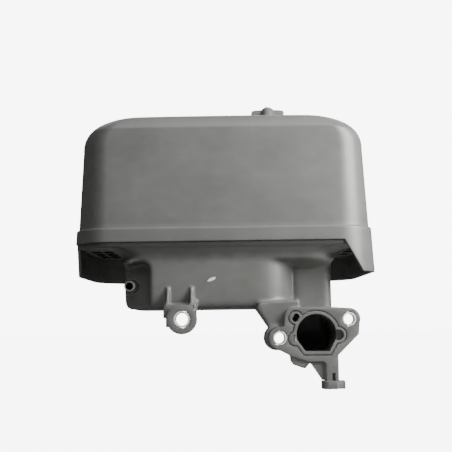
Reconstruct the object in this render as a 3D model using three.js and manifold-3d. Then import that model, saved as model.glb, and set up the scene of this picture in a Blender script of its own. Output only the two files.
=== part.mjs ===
// Air filter housing of a horizontal-shaft utility engine, with the filter element inside it.
// Millimetres, +Z up. The origin is the centre of the carburettor bore on the flange's face;
// +Y runs from the carburettor into the housing and +X to the right of someone facing the flange.
import * as THREE from "three";
import { mergeVertices } from "three/addons/utils/BufferGeometryUtils.js";
import Module from "manifold-3d";

const wasm = await Module();
wasm.setup();

// ---- Driving dimensions -------------------------------------------------------------------
const GAP = 0.3; // between pieces that touch
const RUN = 0.3; // radial clearance of a piece that slides or turns on the stud

// Cover: a deep dome whose skirt hangs past the pan it sits on.
const COVER_LEFT = -193.7;
const COVER_RIGHT = 52.2;
const COVER_FRONT = 4;
const COVER_REAR = 195;
const COVER_WALL = 2.5;
const COVER_TOP = 184.2; // flat seat round the stud
const COVER_RIM = 178; // top of the bevel that runs round the roof
const ROOF_LIFT = 1; // how much higher the bevel's top is at the middle of the long sides
const COVER_DRAFT = 3.1; // degrees
const FRONT_CORNER = 30;
const REAR_CORNER = 48;
const SKIRT_BOTTOM = 49;
const SEAM = 85.6; // the step in the wall, which rests on the pan's rim
const SEAM_STEP = 2;
const FRONT_SKIRT = 74.2; // lower edge of the cut-away front

// Tray: the floor and rim that flare out from the top of the bowl, moulded with it.
const TRAY_FLOOR = 70; // underside
const FLOOR_THICK = 2.4;
const TRAY_WALL = 2.2;
const TRAY_FIT = 0.6; // between the tray's rim and the cover
const FLARE = 11; // how far the bowl's wall spreads where it meets the floor
const INLET_WIDE = 7.6;
const INLET_LONG = 26;
const INLET_RIB = 2.6;
const INLET_ROWS = 3;
const INLET_COLUMNS = 2;
const INLET_EDGE = 3.4; // from the rim's inner face to a slot
const INLET_MIDDLE = 91;

// Filter element and its stud.
const STUD_X = -30;
const STUD_Y = 98;
const STUD_R = 3;
const STUD_TOP = 203.5;
const HOLE_R = 27; // clean-air hole in the seat plate
const SEAT_WIDE = 6;
const SEAT_HIGH = 2.1;
const CAP_R = 56;
const CAP_THICK = 2;
const CAP_LIP = 4;
const CORE_R = 31;
const CORE_WALL = 1.2;
const ELEMENT_HIGH = 68; // between the two end caps' outer faces
const PLEATS = 44;
const FOLD_THICK = 2.8; // the paper's thickness measured along the radius
const SEAL_THICK = 3;
const FOAM_THICK = 8.4;
const THREAD_PITCH = 1;
const NUT_SPAN = 29.8;
const WASHER_THICK = 1.2;

// Bowl and throat of the lower moulding.
const BODY_WALL = 2.6;
const BODY_FRONT = 12;
const BODY_REAR = 142;
const THROAT_LEFT = -152;
const THROAT_RIGHT = 20;
const THROAT_BOTTOM = 60;
const LEDGE_WIDE = 5.6; // from the throat's outside to the opening that the seat plate covers
const PLATE_THICK = 2.6;
const PLATE_EDGE = 0.6; // from the throat's outside to the seat plate's edge
const GASKET_THICK = 1.2;
const BOWL_RIGHT = -15;
const BOWL_REAR = 126;
const BOWL_BOTTOM = 21;
const BOWL_CORNER = 27;
const NICHE_WIDE = 21.5;
const NICHE_DEEP = 19;
const SPIGOT_R = 4.1;
const SPIGOT_BORE = 3.1;
const SPIGOT_Z = 39.4;

// Snorkel and carburettor flange.
const RISER_LEFT = -17.4;
const RISER_RIGHT = 16.6;
const RISER_FRONT = 30;
const RISER_REAR = 64;
const BORE_R = 15.4;
const BORE_FLAT = 13.5;
const FLANGE_THICK = 7;
const STUD_SPACING = 56;
const STUD_TILT = 14.6; // degrees, from the left stud hole up to the right one
const LEFT_HOLE = [-28.4, -3];
const FLANGE_COLLAR_R = 5.4;
const FLANGE_COLLAR_BORE = 4.2; // clears an M8 stud
const LEFT_COLLAR_LONG = 19;
const RIGHT_COLLAR_LONG = 12;
const LOBE_R = 8.6;
const LIP_WIDE = 2.3; // between the bore and the seal groove
const GROOVE_WIDE = 1;
const GROOVE_DEEP = 1.2;

// Bracket lug under the bowl.
const LUG_X = -104.6;
const LUG_Z = 12.6;
const LUG_R = 11.7;
const LUG_DEEP = 16;
const LUG_COLLAR_R = 6.45;
const LUG_COLLAR_BORE = 4.9;

// Foot under the flange.
const FOOT_Z = -42.2;
const FOOT_THICK = 6;

const PLASTIC = new THREE.MeshStandardMaterial({ color: 0x3a3b38, roughness: 0.5, metalness: 0 });
const STEEL = new THREE.MeshStandardMaterial({ color: 0xc8c8c4, roughness: 0.3, metalness: 1 });
const RUBBER = new THREE.MeshStandardMaterial({ color: 0x161616, roughness: 0.8, metalness: 0 });
const PAPER_LOOK = new THREE.MeshStandardMaterial({ color: 0xd9b65c, roughness: 0.9, metalness: 0 });
const FOAM_LOOK = new THREE.MeshStandardMaterial({ color: 0x2c2d2f, roughness: 1, metalness: 0 });
const CAP_LOOK = new THREE.MeshStandardMaterial({ color: 0xb3482e, roughness: 0.6, metalness: 0 });

// ---- Solids -------------------------------------------------------------------------------
const rad = THREE.MathUtils.degToRad;

function solid(geometry) {
  const bare = new THREE.BufferGeometry();
  bare.setAttribute("position", geometry.getAttribute("position"));
  bare.setIndex(geometry.index);
  const merged = mergeVertices(bare, 1e-4);
  return new wasm.Manifold(
    new wasm.Mesh({
      numProp: 3,
      vertProperties: new Float32Array(merged.attributes.position.array),
      triVerts: new Uint32Array(merged.index.array),
    }),
  );
}

function geometryOf(body) {
  const mesh = body.getMesh();
  const geometry = new THREE.BufferGeometry();
  geometry.setAttribute("position", new THREE.BufferAttribute(mesh.vertProperties, 3));
  geometry.setIndex(new THREE.BufferAttribute(mesh.triVerts, 1));
  return geometry;
}

const join = (bodies) => bodies.reduce((sum, body) => sum.add(body));
const cut = (body, tools) => tools.reduce((left, tool) => left.subtract(tool), body);

function box(x, y, z) {
  const geometry = new THREE.BoxGeometry(x[1] - x[0], y[1] - y[0], z[1] - z[0]);
  return solid(geometry.translate((x[0] + x[1]) / 2, (y[0] + y[1]) / 2, (z[0] + z[1]) / 2));
}

// A cylinder standing on z[0], or a cone when a second radius is given.
function post(x, y, z, radius, topRadius = radius, sides = 24) {
  const geometry = new THREE.CylinderGeometry(topRadius, radius, z[1] - z[0], sides);
  return solid(geometry.rotateX(Math.PI / 2).translate(x, y, (z[0] + z[1]) / 2));
}

// A cylinder along Y.
function barrel(x, z, y, radius, sides = 24) {
  const geometry = new THREE.CylinderGeometry(radius, radius, y[1] - y[0], sides);
  return solid(geometry.translate(x, (y[0] + y[1]) / 2, z));
}

function shapeOf(points) {
  return new THREE.Shape(points.map(([u, v]) => new THREE.Vector2(u, v)));
}

// Prisms of a flat shape: seen from above along Z, from the front along Y, from the right along X.
function prismZ(shape, z) {
  const geometry = new THREE.ExtrudeGeometry(shape, { depth: z[1] - z[0], bevelEnabled: false });
  return solid(geometry.translate(0, 0, z[0]));
}

function prismY(shape, y, segments = 12) {
  const options = { depth: y[1] - y[0], bevelEnabled: false, curveSegments: segments };
  return solid(new THREE.ExtrudeGeometry(shape, options).rotateX(Math.PI / 2).translate(0, y[1], 0));
}

function prismX(shape, x, segments = 12) {
  const options = { depth: x[1] - x[0], bevelEnabled: false, curveSegments: segments };
  const turn = new THREE.Matrix4().set(0, 0, 1, x[0], 1, 0, 0, 0, 0, 1, 0, 0, 0, 0, 0, 1);
  return solid(new THREE.ExtrudeGeometry(shape, options).applyMatrix4(turn));
}

// A turned body about the stud's axis, from [radius, height] pairs that close on themselves.
function turned(profile, sides = 36) {
  const points = [...profile, profile[0]].map(([r, z]) => new THREE.Vector2(r, z));
  const geometry = new THREE.LatheGeometry(points, sides).rotateX(Math.PI / 2);
  return solid(geometry.translate(STUD_X, STUD_Y, 0));
}

const ring = (inner, outer, z, sides = 36) =>
  turned([[inner, z[0]], [outer, z[0]], [outer, z[1]], [inner, z[1]]], sides);

// A rectangle with round corners, counter-clockwise from its front-left corner, pulled in by one
// inset at its sides and another at its front and rear. frame.corners gives the four radii: front
// left, front right, rear right, rear left.
function outline(frame, insetX, insetY, segments) {
  const [left, right, front, rear] = frame.sides;
  const centres = [
    [left, front, 1, 1],
    [right, front, -1, 1],
    [right, rear, -1, -1],
    [left, rear, 1, -1],
  ];
  const points = [];
  centres.forEach(([x, y, sx, sy], corner) => {
    const radius = Math.max(frame.corners[corner] - Math.min(insetX, insetY), frame.least ?? 1.5);
    for (let step = 0; step <= segments; step += 1) {
      const angle = Math.PI + (Math.PI / 2) * (corner + step / segments);
      const cx = x + sx * (insetX + radius);
      const cy = y + sy * (insetY + radius);
      points.push([cx + radius * Math.cos(angle), cy + radius * Math.sin(angle)]);
    }
  });
  return points;
}

// Joins the same outline at several heights. A level is [inset, z], or [side inset, front inset, z]
// with, at need, a lift that arches it up between its left and right ends.
function loft(frame, levels, segments = 7) {
  const middle = (frame.sides[0] + frame.sides[1]) / 2;
  const half = (frame.sides[1] - frame.sides[0]) / 2;
  const rings = levels.map((level) => {
    const [insetX, insetY, z, lift = 0] = level.length === 2 ? [level[0], ...level] : level;
    const arch = (x) => lift * (1 - ((x - middle) / half) ** 2);
    return outline(frame, insetX, insetY, segments).map(([x, y]) => [x, y, z + arch(x)]);
  });
  const count = rings[0].length;
  const corners = [];
  for (let level = 0; level + 1 < rings.length; level += 1) {
    for (let i = 0; i < count; i += 1) {
      const j = (i + 1) % count;
      const [a, b] = [rings[level][i], rings[level][j]];
      const [c, d] = [rings[level + 1][i], rings[level + 1][j]];
      corners.push(a, b, d, a, d, c);
    }
  }
  const bottom = rings[0];
  const top = rings[rings.length - 1];
  for (let i = 1; i + 1 < count; i += 1) {
    corners.push(bottom[0], bottom[i + 1], bottom[i], top[0], top[i], top[i + 1]);
  }
  const geometry = new THREE.BufferGeometry();
  geometry.setAttribute("position", new THREE.Float32BufferAttribute(corners.flat(), 3));
  return solid(geometry);
}

// ---- Cover --------------------------------------------------------------------------------
const coverFrame = {
  sides: [COVER_LEFT, COVER_RIGHT, COVER_FRONT, COVER_REAR],
  corners: [FRONT_CORNER, FRONT_CORNER, REAR_CORNER, REAR_CORNER],
  least: 6,
};
const slope = Math.tan(rad(COVER_DRAFT));
const drafted = (z) => (z - SKIRT_BOTTOM) * slope;

// The cover's outside from the bottom up: skirt, step at the seam, wall, then a shoulder that is
// soft at the two ends and a crisp flat bevel along the front and rear, then the crowned roof.
const SEAM_ROUND = 1.2;
const SHOULDER_HIGH = 28;
const SHOULDER_WIDE = 42; // at the two ends, where it is a long soft curve
const wallInset = drafted(COVER_RIM - SHOULDER_HIGH) + SEAM_STEP;
const shoulder = [
  [0, 0],
  [0.22, 0.2],
  [0.42, 0.5],
  [0.61, 0.8],
  [0.77, 3.4],
  [0.9, 6],
  [0.965, 7.6],
  [1, 10.5],
].map(([up, front]) => {
  const side = SHOULDER_WIDE * (1 - (1 - up ** 2.6) ** 0.46);
  return [wallInset + side, wallInset + front, COVER_RIM - SHOULDER_HIGH * (1 - up)];
});
const crown = COVER_TOP - COVER_RIM;
const roof = [
  [64, 30, 0.35],
  [80, 52, 0.7],
  [92, 70, 0.9],
].map(([side, front, rise]) => [side, front, COVER_RIM + crown * rise, ROOF_LIFT * (1 - rise)]);
const arched = [
  ...shoulder.map((level, i) => [...level, (ROOF_LIFT * i) / (shoulder.length - 1)]),
  ...roof,
];
const wallTo = (inset, z) => [inset, inset, z];
const coverLevels = [
  wallTo(0, SKIRT_BOTTOM),
  wallTo(drafted(SEAM - SEAM_ROUND), SEAM - SEAM_ROUND),
  wallTo(drafted(SEAM) + 0.5, SEAM - 0.3),
  wallTo(drafted(SEAM) + SEAM_STEP, SEAM),
  ...arched,
];
const ledgeZ = SEAM - COVER_WALL + 1; // the inner step, which rests on the tray's rim
const cavityLevels = [
  wallTo(COVER_WALL, SKIRT_BOTTOM - 1),
  wallTo(COVER_WALL + drafted(ledgeZ), ledgeZ),
  wallTo(COVER_WALL + drafted(ledgeZ) + SEAM_STEP, ledgeZ + 0.4),
  ...arched.map(([side, front, z, lift], i) => {
    const onRoof = i >= shoulder.length - 1;
    const inward = onRoof ? 0 : COVER_WALL * 0.8;
    return [side + inward, front + inward, z - COVER_WALL * (onRoof ? 1 : 0.6), lift];
  }),
];

// The front of the skirt is cut away over the bowl: square on the left, where the cut slants down
// the side wall, and slanting down to the right on the front wall.
const CUT_RIGHT = [25.2, 39.6];
const CUT_LEFT = [38, 55];
const below = SKIRT_BOTTOM - 5;
const outside = 20;
const frontCut = prismY(
  shapeOf([
    [COVER_LEFT - outside, below],
    [CUT_RIGHT[1], below],
    [CUT_RIGHT[1], SKIRT_BOTTOM + 1],
    [CUT_RIGHT[0], FRONT_SKIRT],
    [COVER_LEFT - outside, FRONT_SKIRT],
  ]),
  [COVER_FRONT - outside, CUT_LEFT[0]],
);
const leftCut = prismX(
  shapeOf([
    [COVER_FRONT - outside, below],
    [CUT_LEFT[1], below],
    [CUT_LEFT[1], SKIRT_BOTTOM - 1.6],
    [CUT_LEFT[0], FRONT_SKIRT],
    [COVER_FRONT - outside, FRONT_SKIRT],
  ]),
  [COVER_LEFT - outside, COVER_LEFT + 60],
);
const SEAT_PAD_R = 14;
const COVER_HOLE_R = 8;
const PAD_THICK = 4.2;
function cover() {
  const shell = loft(coverFrame, coverLevels).subtract(loft(coverFrame, cavityLevels));
  const pad = post(STUD_X, STUD_Y, [COVER_TOP - PAD_THICK, COVER_TOP], SEAT_PAD_R);
  const hole = post(STUD_X, STUD_Y, [COVER_TOP - 20, COVER_TOP + 5], COVER_HOLE_R);
  const padUnder = COVER_TOP - PAD_THICK;
  const underside = post(STUD_X, STUD_Y, [padUnder - 8, padUnder], SEAT_PAD_R);
  return cut(shell.add(pad), [frontCut, leftCut, underside, hole]);
}

// ---- Tray ---------------------------------------------------------------------------------
const rimInset = (z) => COVER_WALL + TRAY_FIT + drafted(z);
const RIM_TOP = ledgeZ - GAP;
const floorTop = TRAY_FLOOR + FLOOR_THICK;
const gasketZ = [floorTop + GAP, floorTop + GAP + GASKET_THICK];
const plateZ = [gasketZ[1] + GAP, gasketZ[1] + GAP + PLATE_THICK];
const SEAT_TOP = plateZ[1] + SEAT_HIGH;
const rimWall = rimInset(TRAY_FLOOR) + TRAY_WALL + INLET_EDGE;
const bankWide = INLET_COLUMNS * INLET_WIDE + (INLET_COLUMNS - 1) * INLET_RIB;
const bankLong = INLET_ROWS * INLET_LONG + (INLET_ROWS - 1) * INLET_RIB;
const bankLefts = [COVER_LEFT + rimWall, COVER_RIGHT - rimWall - bankWide];

function inletSlots() {
  const slots = [];
  for (const bankLeft of bankLefts) {
    for (let column = 0; column < INLET_COLUMNS; column += 1) {
      for (let row = 0; row < INLET_ROWS; row += 1) {
        const left = bankLeft + column * (INLET_WIDE + INLET_RIB);
        const front = INLET_MIDDLE - bankLong / 2 + row * (INLET_LONG + INLET_RIB);
        const z = [TRAY_FLOOR - 8, floorTop + 1];
        slots.push(box([left, left + INLET_WIDE], [front, front + INLET_LONG], z));
      }
    }
  }
  return slots;
}

function trayOutside() {
  return loft(coverFrame, [
    [rimInset(TRAY_FLOOR) + 1.6, TRAY_FLOOR],
    [rimInset(TRAY_FLOOR) + 0.5, TRAY_FLOOR + 0.5],
    [rimInset(TRAY_FLOOR), TRAY_FLOOR + 1.6],
    [rimInset(RIM_TOP), RIM_TOP],
  ]);
}

function trayInside() {
  return loft(coverFrame, [
    [rimInset(TRAY_FLOOR) + TRAY_WALL, floorTop],
    [rimInset(RIM_TOP) + TRAY_WALL, RIM_TOP + 1],
  ]);
}

// ---- Seat plate: closes the bowl, carries the element's seat and the stud ------------------
const BOSS_R = 7.5;
const BOSS_Z = [plateZ[0] - 6, SEAT_TOP + 1.5];
const SPOKE = 3;
const SCREW_R = 2.4;
const SCREW_HOLE = SCREW_R + GAP;
const SCREW_FROM_EDGE = 11; // at the rounded corners
const SCREW_FROM_SIDE = 8.6; // on the straight left side, behind the niche
const SCREW_BOSS_R = 5.2;
const throatFrame = {
  sides: [THROAT_LEFT, THROAT_RIGHT, BODY_FRONT, BODY_REAR],
  corners: [16, 26, 24, 24],
};
const nicheRight = THROAT_LEFT + NICHE_WIDE;
const nicheBack = BODY_FRONT + NICHE_DEEP;
const screwPlaces = [
  [THROAT_LEFT + SCREW_FROM_SIDE, nicheBack + 4],
  [THROAT_RIGHT - SCREW_FROM_EDGE - 1, BODY_FRONT + SCREW_FROM_EDGE + 1],
  [THROAT_RIGHT - SCREW_FROM_EDGE, BODY_REAR - SCREW_FROM_EDGE],
  [THROAT_LEFT + SCREW_FROM_EDGE, BODY_REAR - SCREW_FROM_EDGE],
];
const screwHoles = (z) => screwPlaces.map(([x, y]) => post(x, y, z, SCREW_HOLE, SCREW_HOLE, 12));

function seatPlate() {
  const through = [plateZ[0] - 1, plateZ[1] + 1];
  const plate = loft(throatFrame, [
    [PLATE_EDGE, plateZ[0]],
    [PLATE_EDGE, plateZ[1] - 0.6],
    [PLATE_EDGE + 0.6, plateZ[1]],
  ]);
  const opening = post(STUD_X, STUD_Y, through, HOLE_R, HOLE_R, 36);
  const seat = ring(HOLE_R, HOLE_R + SEAT_WIDE, [plateZ[1] - 0.5, SEAT_TOP]);
  const long = HOLE_R + 1;
  const spokes = [
    box([STUD_X - long, STUD_X + long], [STUD_Y - SPOKE / 2, STUD_Y + SPOKE / 2], plateZ),
    box([STUD_X - SPOKE / 2, STUD_X + SPOKE / 2], [STUD_Y - long, STUD_Y + long], plateZ),
  ];
  const boss = post(STUD_X, STUD_Y, BOSS_Z, BOSS_R);
  const bore = post(STUD_X, STUD_Y, [BOSS_Z[0] - 1, BOSS_Z[1] + 1], STUD_R + RUN);
  const open = cut(plate, [opening, ...screwHoles(through)]);
  return join([open, seat, ...spokes, boss]).subtract(bore);
}

function plateGasket() {
  const band = (inset, z) => loft(throatFrame, z.map((level) => [inset, level]));
  const through = [gasketZ[0] - 1, gasketZ[1] + 1];
  const sheet = band(PLATE_EDGE + 0.4, gasketZ);
  const ears = screwPlaces.map(([x, y]) => post(x, y, through, SCREW_BOSS_R, SCREW_BOSS_R, 16));
  const inside = cut(band(LEDGE_WIDE - 0.5, through), ears);
  return cut(sheet, [inside, ...screwHoles(through)]);
}

// ---- Lower moulding: bowl, throat, snorkel, flange, lug and foot --------------------------
const bowlFrame = {
  sides: [THROAT_LEFT, BOWL_RIGHT, BODY_FRONT, BOWL_REAR],
  corners: [8, BOWL_CORNER, 20, 20],
};
const riserFrame = {
  sides: [RISER_LEFT, RISER_RIGHT, RISER_FRONT, RISER_REAR],
  corners: [7, 7, 10, 10],
};
const spigotX = THROAT_LEFT + SPIGOT_R + 1.3;
const holeAngle = rad(STUD_TILT);
const rightHole = [
  LEFT_HOLE[0] + STUD_SPACING * Math.cos(holeAngle),
  LEFT_HOLE[1] + STUD_SPACING * Math.sin(holeAngle),
];

// The niche at the bowl's front-left corner, seen from the front, grown by the wall for the cavity.
function niche(grow) {
  const side = nicheRight + grow;
  const top = THROAT_BOTTOM - 1 + grow;
  const low = BOWL_BOTTOM - 2;
  const arch = new THREE.Shape();
  arch.moveTo(THROAT_LEFT - 4, low);
  arch.lineTo(side + (grow ? 0 : 6), low);
  arch.lineTo(side + (grow ? 0 : 4.5), low + 2);
  arch.quadraticCurveTo(side, low + 3, side, low + 8);
  arch.lineTo(side, top - 7);
  arch.quadraticCurveTo(side, top, side - 7, top);
  arch.quadraticCurveTo(THROAT_LEFT + 5, top - 1, THROAT_LEFT - 4, top - 6);
  return prismY(arch, [BODY_FRONT - 8, nicheBack + grow], 6);
}

function bowlOutside() {
  const bowl = loft(bowlFrame, [
    [6.2, BOWL_BOTTOM],
    [3.4, BOWL_BOTTOM + 0.5],
    [1.2, BOWL_BOTTOM + 2.2],
    [0.2, BOWL_BOTTOM + 5],
    [0, BOWL_BOTTOM + 8],
    [0, THROAT_BOTTOM + 1],
  ]);
  return bowl.subtract(niche(0));
}

function bowlInside() {
  const levels = [
    [BODY_WALL + 3, BOWL_BOTTOM + BODY_WALL],
    [BODY_WALL, BOWL_BOTTOM + BODY_WALL + 4],
    [BODY_WALL, THROAT_BOTTOM + BODY_WALL + 1],
  ];
  const underThroat = loft(throatFrame, levels.map(([, z]) => [BODY_WALL, z]), 6);
  return loft(bowlFrame, levels, 6).intersect(underThroat).subtract(niche(BODY_WALL));
}

// The throat's wall rises from the bowl and spreads into the tray's floor, within its outline.
function throatOutside() {
  const wall = loft(throatFrame, [
    [0.6, THROAT_BOTTOM - 1],
    [0, THROAT_BOTTOM],
    [-0.02 * FLARE, TRAY_FLOOR - 8],
    [-0.12 * FLARE, TRAY_FLOOR - 5],
    [-0.4 * FLARE, TRAY_FLOOR - 2.2],
    [-FLARE, TRAY_FLOOR],
    [-FLARE, TRAY_FLOOR + 1],
  ]);
  const inset = rimInset(TRAY_FLOOR);
  const within = loft(coverFrame, [
    [inset + 3.4, THROAT_BOTTOM - 2],
    [inset + 3.4, TRAY_FLOOR - 9],
    [inset + 1.6, TRAY_FLOOR],
    [inset + 1.6, TRAY_FLOOR + 1],
  ]);
  return wall.intersect(within);
}

function throatInside() {
  return loft(
    throatFrame,
    [
      [BODY_WALL, THROAT_BOTTOM + BODY_WALL],
      [BODY_WALL, TRAY_FLOOR - 1],
      [LEDGE_WIDE, TRAY_FLOOR - 1],
      [LEDGE_WIDE, floorTop + 1],
    ],
    6,
  );
}

// The sloping ledge that gathers the throat down to the snorkel.
const LEDGE_LEFT = -46;
const LEDGE_BOTTOM = 52.5;
function ledge() {
  const frame = { sides: [LEDGE_LEFT, THROAT_RIGHT - 0.6, BODY_FRONT + 1, 78], corners: [20, 20, 12, 12] };
  return loft(frame, [
    [16.5, LEDGE_BOTTOM],
    [12, LEDGE_BOTTOM + 1.6],
    [5, LEDGE_BOTTOM + 4.6],
    [1, LEDGE_BOTTOM + 6.9],
    [0, THROAT_BOTTOM + 1],
  ]);
}

// Side view of the snorkel: straight down at the front, a quarter bend at the back.
function bendProfile(wall) {
  const radius = 22 - wall;
  const low = -BORE_FLAT - BODY_WALL + wall;
  const rear = RISER_REAR - wall;
  const profile = new THREE.Shape();
  profile.moveTo(FLANGE_THICK - 1 - wall, low);
  profile.lineTo(rear - radius, low);
  profile.absarc(rear - radius, low + radius, radius, -Math.PI / 2, 0, false);
  profile.lineTo(rear, THROAT_BOTTOM + 20);
  profile.lineTo(FLANGE_THICK - 1 - wall, THROAT_BOTTOM + 20);
  return prismX(profile, [RISER_LEFT - 10, RISER_RIGHT + 10], 8);
}

// The mouth: a round bore with a flat floor and slanting lower corners.
function boreShape(grow) {
  const radius = BORE_R + grow;
  const side = 0.34;
  const mouth = new THREE.Shape();
  mouth.moveTo(-8.6 - grow * 0.5, -BORE_FLAT - grow);
  mouth.lineTo(10 + grow * 0.5, -BORE_FLAT - grow);
  mouth.lineTo(radius * Math.cos(side), -radius * Math.sin(side));
  mouth.absarc(0, 0, radius, -side, Math.PI + side, false);
  return mouth;
}

function snorkelOutside() {
  const levels = [
    [0, -BORE_FLAT - BODY_WALL],
    [0, THROAT_BOTTOM + 1],
  ];
  const riser = loft(riserFrame, levels, 6).intersect(bendProfile(0));
  const neck = prismY(boreShape(BODY_WALL), [FLANGE_THICK - 1, RISER_FRONT + 14], 14);
  return riser.add(neck);
}

function snorkelInside() {
  const levels = [
    [BODY_WALL, -BORE_FLAT],
    [BODY_WALL, THROAT_BOTTOM + BODY_WALL + 1],
  ];
  const riser = loft(riserFrame, levels, 6).intersect(bendProfile(BODY_WALL));
  return riser.add(prismY(boreShape(0), [-1, RISER_FRONT + 14], 14));
}

// Flange plate: one lobe round each stud hole, joined by straight edges.
const NOTCH_R = 4.1;
const NOTCH = [17, -1];
const VENT = [-15.8, 12.6];
const VENT_R = 2.3;
const FLANGE_TOP = 20.6;
function flangePlate() {
  const edge = new THREE.Shape();
  edge.moveTo(-5.8, -21.2);
  edge.lineTo(12, -21.2);
  edge.lineTo(33, -0.6);
  edge.absarc(rightHole[0], rightHole[1], LOBE_R, -0.4, Math.PI / 2 - 0.05, false);
  edge.lineTo(14, FLANGE_TOP);
  edge.lineTo(-17, FLANGE_TOP);
  edge.quadraticCurveTo(-24.5, 19.5, -24.5, 12);
  edge.lineTo(-24.8, 6.5);
  edge.absarc(LEFT_HOLE[0], LEFT_HOLE[1], LOBE_R, Math.PI / 2 - 0.1, (Math.PI * 3) / 2 - 0.35, false);
  edge.lineTo(-19.8, -17);
  return prismY(edge, [0, FLANGE_THICK], 10);
}

function sealGroove() {
  const depth = [-1, GROOVE_DEEP];
  const [outer, inner] = [LIP_WIDE + GROOVE_WIDE, LIP_WIDE].map((grow) => {
    const lobes = join([
      prismY(boreShape(grow), depth, 14),
      barrel(NOTCH[0], NOTCH[1], depth, NOTCH_R + grow - 0.4),
      barrel(VENT[0], VENT[1], depth, VENT_R + grow + 0.4),
      barrel(-16.4, -3.6, depth, 2.8 + grow),
    ]);
    return lobes;
  });
  return outer.subtract(inner);
}

function flangeExtras() {
  const webBack = RISER_FRONT + 6;
  const bosses = [
    barrel(LEFT_HOLE[0] - 2.4, LEFT_HOLE[1] + 0.4, [3, LEFT_COLLAR_LONG], LOBE_R + 1.3),
    barrel(rightHole[0], rightHole[1], [3, RIGHT_COLLAR_LONG], LOBE_R - 0.6),
  ];
  const web = prismY(
    shapeOf([
      [-36.6, 5.4],
      [-30, -4],
      [-14, -10],
      [-12, BOWL_BOTTOM + 6],
      [-44, BOWL_BOTTOM + 4],
      [-46.6, 20.4],
    ]),
    [5, webBack],
  );
  const tab = prismY(
    shapeOf([
      [-21, -14],
      [-20.6, -20.5],
      [-18.6, -23.4],
      [-9, -27.2],
      [-4.6, -20.6],
      [-6, -14],
    ]),
    [1.6, 6.6],
  );
  return join([...bosses, web, tab]);
}

// Post and foot that hang under the flange.
function footPost() {
  const top = -BORE_FLAT - BODY_WALL - 1;
  const footTop = FOOT_Z + FOOT_THICK;
  const column = box([5.6, 16.6], [0, 6], [footTop - 1, top]);
  const flute = box([5, 7.1], [-1, 1.2], [footTop - 2, -22.2]);
  const gusset = prismY(
    shapeOf([
      [-6, top - 1],
      [-5.4, -22],
      [3.8, footTop + 0.6],
      [6.6, footTop + 0.6],
      [6.6, top - 1],
    ]),
    [2.4, 5.4],
  );
  const plate = new THREE.Shape();
  plate.moveTo(21.2, 2);
  plate.lineTo(21.2, 9);
  plate.lineTo(3.6, 9);
  plate.lineTo(3.6, 0);
  plate.absarc(8.6, -1, 5, Math.PI, Math.PI * 1.5, false);
  plate.lineTo(14, -6);
  plate.quadraticCurveTo(15.5, -2, 21.2, -2);
  const foot = prismZ(plate, [FOOT_Z, footTop]);
  const slot = box([11.4, 14], [-1, 4], [footTop + 0.2, footTop + 6]);
  return cut(join([column, gusset, foot]), [flute, slot]);
}

function bracketLug() {
  const boss = barrel(LUG_X, LUG_Z, [0, LUG_DEEP], LUG_R, 32);
  const saddle = box([LUG_X - 11, LUG_X + 9], [2, LUG_DEEP + 6], [LUG_Z + 2, BOWL_BOTTOM + 3]);
  const gusset = (left, right, top, low = LUG_Z - 6) =>
    prismX(
      shapeOf([
        [3, low],
        [LUG_DEEP, low + 3],
        [LUG_DEEP + 6, BOWL_BOTTOM + 3],
        [BODY_FRONT + 3, top],
        [BODY_FRONT - 0.8, top],
        [2, BOWL_BOTTOM + 3],
      ]),
      [LUG_X + left, LUG_X + right],
    );
  const ribTop = BOWL_BOTTOM + 17;
  return join([
    boss,
    saddle,
    gusset(-14.4, -11.6, BOWL_BOTTOM + 4, LUG_Z + 1),
    gusset(-12.4, -10, ribTop),
    gusset(6.4, 8.8, ribTop),
    gusset(8.8, 11.4, BOWL_BOTTOM + 7, LUG_Z),
  ]);
}

function lowerBody() {
  const spigot = [
    barrel(spigotX, SPIGOT_Z, [BODY_FRONT, nicheBack + 1], SPIGOT_R, 20),
    barrel(spigotX, SPIGOT_Z, [nicheBack - 3, nicheBack + 1], SPIGOT_R + 1, 20),
  ];
  const outer = join([
    bowlOutside(),
    throatOutside(),
    ledge(),
    snorkelOutside(),
    flangePlate(),
    flangeExtras(),
    footPost(),
    bracketLug(),
    trayOutside(),
    ...spigot,
  ]);
  const passage = box(
    [RISER_LEFT - 8, RISER_LEFT + 8],
    [RISER_FRONT + BODY_WALL, RISER_REAR - BODY_WALL],
    [BOWL_BOTTOM + 12, THROAT_BOTTOM + BODY_WALL + 1],
  );
  const hollows = [bowlInside(), throatInside(), snorkelInside(), passage, trayInside()];
  const shell = cut(outer, hollows);
  const bossZ = [TRAY_FLOOR - 13, floorTop];
  const screwBosses = screwPlaces.map(([x, y]) => post(x, y, bossZ, SCREW_BOSS_R, SCREW_BOSS_R, 16));
  const holes = [
    barrel(...LEFT_HOLE, [-1, 40], FLANGE_COLLAR_R + GAP),
    barrel(...rightHole, [-1, 40], FLANGE_COLLAR_R + GAP),
    barrel(LUG_X, LUG_Z, [-1, LUG_DEEP + 10], LUG_COLLAR_R + GAP),
    barrel(spigotX, SPIGOT_Z, [BODY_FRONT - 1, nicheBack + BODY_WALL + 4], SPIGOT_BORE, 20),
    barrel(...NOTCH, [-1, 4.5], NOTCH_R),
    box([-17.6, -12], [-1, 2.5], [-6.5, -0.6]),
    barrel(VENT[0] + 0.5, VENT[1] + 0.9, [-1, 11], VENT_R),
    barrel(VENT[0] - 0.4, VENT[1] - 0.8, [-1, 11], VENT_R),
    sealGroove(),
  ];
  const bores = screwHoles([bossZ[0] + 2, floorTop + 1]);
  return cut(join([shell, ...screwBosses]), [...holes, ...bores, ...inletSlots()]);
}

// ---- Filter element -----------------------------------------------------------------------
const elementBottom = SEAT_TOP + GAP + SEAL_THICK + GAP;
const elementTop = elementBottom + ELEMENT_HIGH;
const paperZ = [elementBottom + CAP_THICK + GAP, elementTop - CAP_THICK - GAP];

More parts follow.
